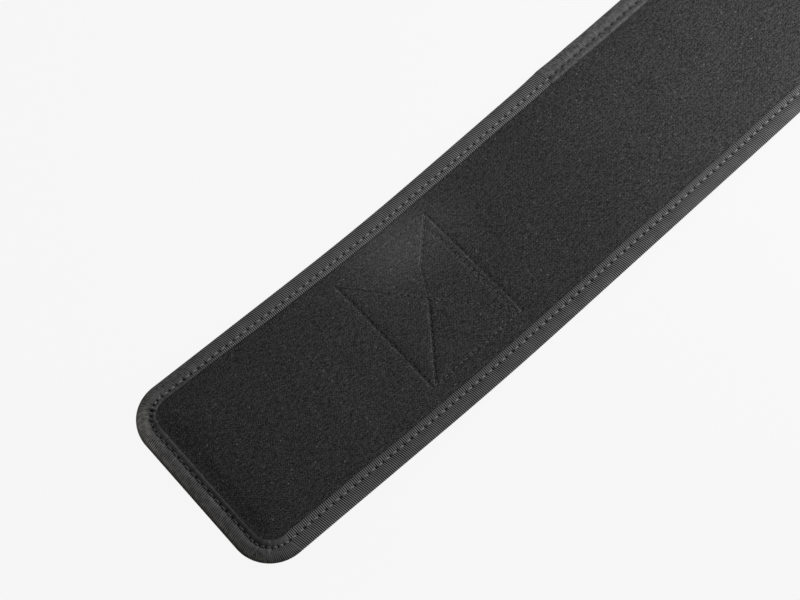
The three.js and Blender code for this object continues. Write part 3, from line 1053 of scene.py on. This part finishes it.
def needle_hole_shade(net, parts):
    """Factor of painted shade that darkens the needle holes, less on the +Y side and least past the overlap
    there.
    """
    beat = net.math("COSINE", net.product(net.x, 2 * math.pi / TAPE_STITCH))
    across = net.ranged(net.math("ABSOLUTE", net.y), 0.35, 0.75, 1.0, 0.0)
    hole = net.product(net.ranged(beat, 0.55, 0.85), across)
    past = net.math("LESS_THAN", net.x, RUNS[5] + CORNER_RADIUS - LAP_START)
    past = net.product(past, parts["far_side"])
    strength = net.total(net.product(past, 0.15), net.product(parts["far_side"], 0.2), -0.93)
    return net.factor(hole, strength)


def tape_light(net, parts):
    """Factor of painted shade on the tape's inner part, at the raised end and along the -Y side, and of
    painted highlight on its fold.
    """
    inside = parts["past_stitches"]
    end = net.math("MULTIPLY_ADD", inside, 0.46, net.ranged(net.x, RUNS[6], RUNS[7], -0.15, 0.12))
    painted_shade = net.total(
        net.product(end, parts["raised_end"]),
        net.product(inside, net.ranged(net.z, -0.3, 0.0, 0.17, 0.0)),
        net.product(parts["near_side"], net.ranged(net.x, 20.0, 60.0, 0.0, 0.18)),
    )
    side = net.math("MULTIPLY_ADD", parts["far_side"], 0.45, parts["near_side"])
    return net.product(net.math("SUBTRACT", 1.0, painted_shade), net.factor(parts["fold"], side))


def ribbed_tape():
    net = Net("binding_tape")
    parts = tape_parts(net)
    # rib: 1 on the rib tops and 0 between them, for the ribs' painted highlight and painted shade
    rib = net.math("MULTIPLY_ADD", net.sine(net.x, RIB_PITCH, math.pi / 2), 0.5, 0.5)
    grain = net.noise(net.scaled(1.0, 1.0), 1.4, 3.0, 0.6)
    # rim: painted highlight along the tape's outer rim at the raised end; corner: the outer strip lighter
    # near one corner there; both are warmed a little
    rim = net.product(net.hill(net.y, -5.6, 1.1), parts["raised_end"])
    corner = net.hill(net.x, RUNS[5] + 0.62 * ARC, 15.0)
    corner = net.product(corner, net.ranged(net.y, -2.2, -1.2, 1.0, 0.0))
    value = net.product(
        tape_threads_value(net, parts, rib, grain),
        needle_hole_shade(net, parts),
        tape_light(net, parts),
        net.factor(rim, 0.9),
        net.factor(corner, 0.6),
    )
    color = net.shade(TAPE_SHADE, net.math("MAXIMUM", value, 0.02))
    color = net.warmed(color, net.math("MAXIMUM", rim, corner))
    net.bump(net.total(net.product(rib, 0.5), net.product(grain, 0.3)), 0.0001, 0.7)
    return net.finish(Base_Color=color, Roughness=0.5, Specular_IOR_Level=0.22, Sheen_Weight=0.1,
                      Sheen_Roughness=0.4)


def sewing_thread(name, shade, roughness, painted_shade_strength):
    """Twisted thread, darkened by painted shade the nearer net.z is to 1."""
    net = Net(name)
    twist = net.math("SINE", net.math("MULTIPLY_ADD", net.x, 9.0, net.y))
    value = net.product(net.math("MULTIPLY_ADD", twist, 0.2, 0.95), net.factor(net.z, -painted_shade_strength))
    net.bump(twist, 0.00005, 0.6)
    return net.finish(Base_Color=net.shade(shade, value), Roughness=roughness, Specular_IOR_Level=0.5,
                      Sheen_Weight=0.2)


def webbing():
    """Herringbone webbing, lighter at its selvedges and melted smooth at the strap's cut end."""
    net = Net("strap_webbing")
    zigzag = net.math("PINGPONG", net.y, 4.7)
    twill = net.sine(net.total(net.x, zigzag), 2.0)
    thread = net.sine(net.y, 1.0)
    edge = net.ranged(net.math("ABSOLUTE", net.y), STRAP_WIDTH / 2 - 2.6, STRAP_WIDTH / 2 - 2.2)
    tip = net.ranged(net.x, STRAP_END - BOX_START - 2.0, STRAP_END - BOX_START - 1.0, 0.6, 0.35)
    value = net.total(
        net.math("MULTIPLY_ADD", twill, 0.22, 0.75),
        net.product(thread, 0.12),
        net.spread(net.noise(net.scaled(1.0, 1.0), 0.9, 3.0), -0.15, 0.25),
        net.product(edge, 0.2),
    )
    net.bump(net.total(twill, net.product(thread, 0.6)), 0.00025, 0.8)
    return net.finish(Base_Color=net.shade(WEBBING_SHADE, value), Roughness=tip, Specular_IOR_Level=0.4,
                      Sheen_Weight=0.2)


def ring_steel():
    net = Net("ring_steel")
    scratch = net.noise(net.scaled(3.0, 0.3, 3.0), 1.0, 3.0)
    cloud = net.noise(net.scaled(0.2, 0.2, 0.2), 1.0)
    net.bump(scratch, 0.00002, 0.5)
    return net.finish(Base_Color=net.shade(STEEL_SHADE, net.spread(cloud, 0.85, 1.05)), Metallic=1.0,
                      Roughness=net.spread(scratch, 0.18, 0.36))


# Floor and light
FLOOR_DROP = 0.00005
FLOOR_HALF = 12.0
WALL_RADIUS = 11.0
WALL_HEIGHT = 11.0
WALL_SIDES = 48


def plain_pale():
    material = bpy.data.materials.new("plain_pale")
    material.use_nodes = True
    shader = material.node_tree.nodes["Principled BSDF"]
    shader.inputs["Base Color"].default_value = FLOOR_SHADE
    shader.inputs["Roughness"].default_value = 1.0
    shader.inputs["Specular IOR Level"].default_value = 0.0
    shader.inputs["Emission Color"].default_value = FLOOR_GLOW
    shader.inputs["Emission Strength"].default_value = 1.0
    material.cycles.emission_sampling = "NONE"
    return material


def add_stage(name, points, faces, material):
    """A floor or backdrop that lights nothing."""
    mesh = bpy.data.meshes.new(name)
    mesh.from_pydata(points, [], faces)
    mesh.materials.append(material)
    piece = bpy.data.objects.new(name, mesh)
    piece.visible_diffuse = False
    piece.visible_glossy = False
    bpy.context.scene.collection.objects.link(piece)
    return piece


def make_floor():
    """A floor just under the belt, and round it a backdrop that hides where the floor ends."""
    material = plain_pale()
    corners = [(-FLOOR_HALF, -FLOOR_HALF), (FLOOR_HALF, -FLOOR_HALF), (FLOOR_HALF, FLOOR_HALF),
               (-FLOOR_HALF, FLOOR_HALF)]
    add_stage("floor", [(x, y, -FLOOR_DROP) for x, y in corners], [(0, 1, 2, 3)], material)
    angle = 2 * math.pi * np.arange(WALL_SIDES) / WALL_SIDES
    ring = (WALL_RADIUS * np.stack([np.cos(angle), np.sin(angle)], -1)).tolist()
    points = [(x, y, z) for z in (0.0, WALL_HEIGHT) for x, y in ring]
    faces = []
    for k in range(WALL_SIDES):
        following = (k + 1) % WALL_SIDES
        faces.append((k, following, WALL_SIDES + following, WALL_SIDES + k))
    backdrop = add_stage("backdrop", points, faces, material)
    backdrop.visible_shadow = False


def add_light(name, place, target, size, power):
    data = bpy.data.lights.new(name, "AREA")
    data.shape = "RECTANGLE"
    data.size, data.size_y = size
    data.energy = power
    light = bpy.data.objects.new(name, data)
    way = Vector(target) - Vector(place)
    light.matrix_world = Matrix.Translation(place) @ way.to_track_quat("-Z", "Y").to_matrix().to_4x4()
    light.visible_camera = False
    bpy.context.scene.collection.objects.link(light)


def make_lights():
    add_light("key", place=(0.02, -0.11, 0.29), target=(-0.3, 0.0, 0.0), size=(0.3, 0.3), power=2.12)
    add_light("side", place=(-0.385, 0.11, 0.2), target=(-0.4, 0.035, 0.01), size=(0.14, 0.06), power=0.06)
    world = bpy.data.worlds.new("world")
    world.use_nodes = True
    background = world.node_tree.nodes["Background"]
    background.inputs["Color"].default_value = (1, 1, 1, 1)
    background.inputs["Strength"].default_value = 0.12
    bpy.context.scene.world = world
    bpy.context.scene.view_settings.view_transform = "Standard"


make_camera()
make_panel(body_fabric())
make_binding(ribbed_tape())
make_tape_stitches(sewing_thread("binding_thread", BINDING_THREAD_SHADE, 0.42, 0.75))
make_box_stitches(sewing_thread("box_thread", BOX_THREAD_SHADE, 0.5, 0.85))
WEBBING = webbing()
make_strap(WEBBING)
make_loop(WEBBING)
make_ring(ring_steel())
make_floor()
make_lights()
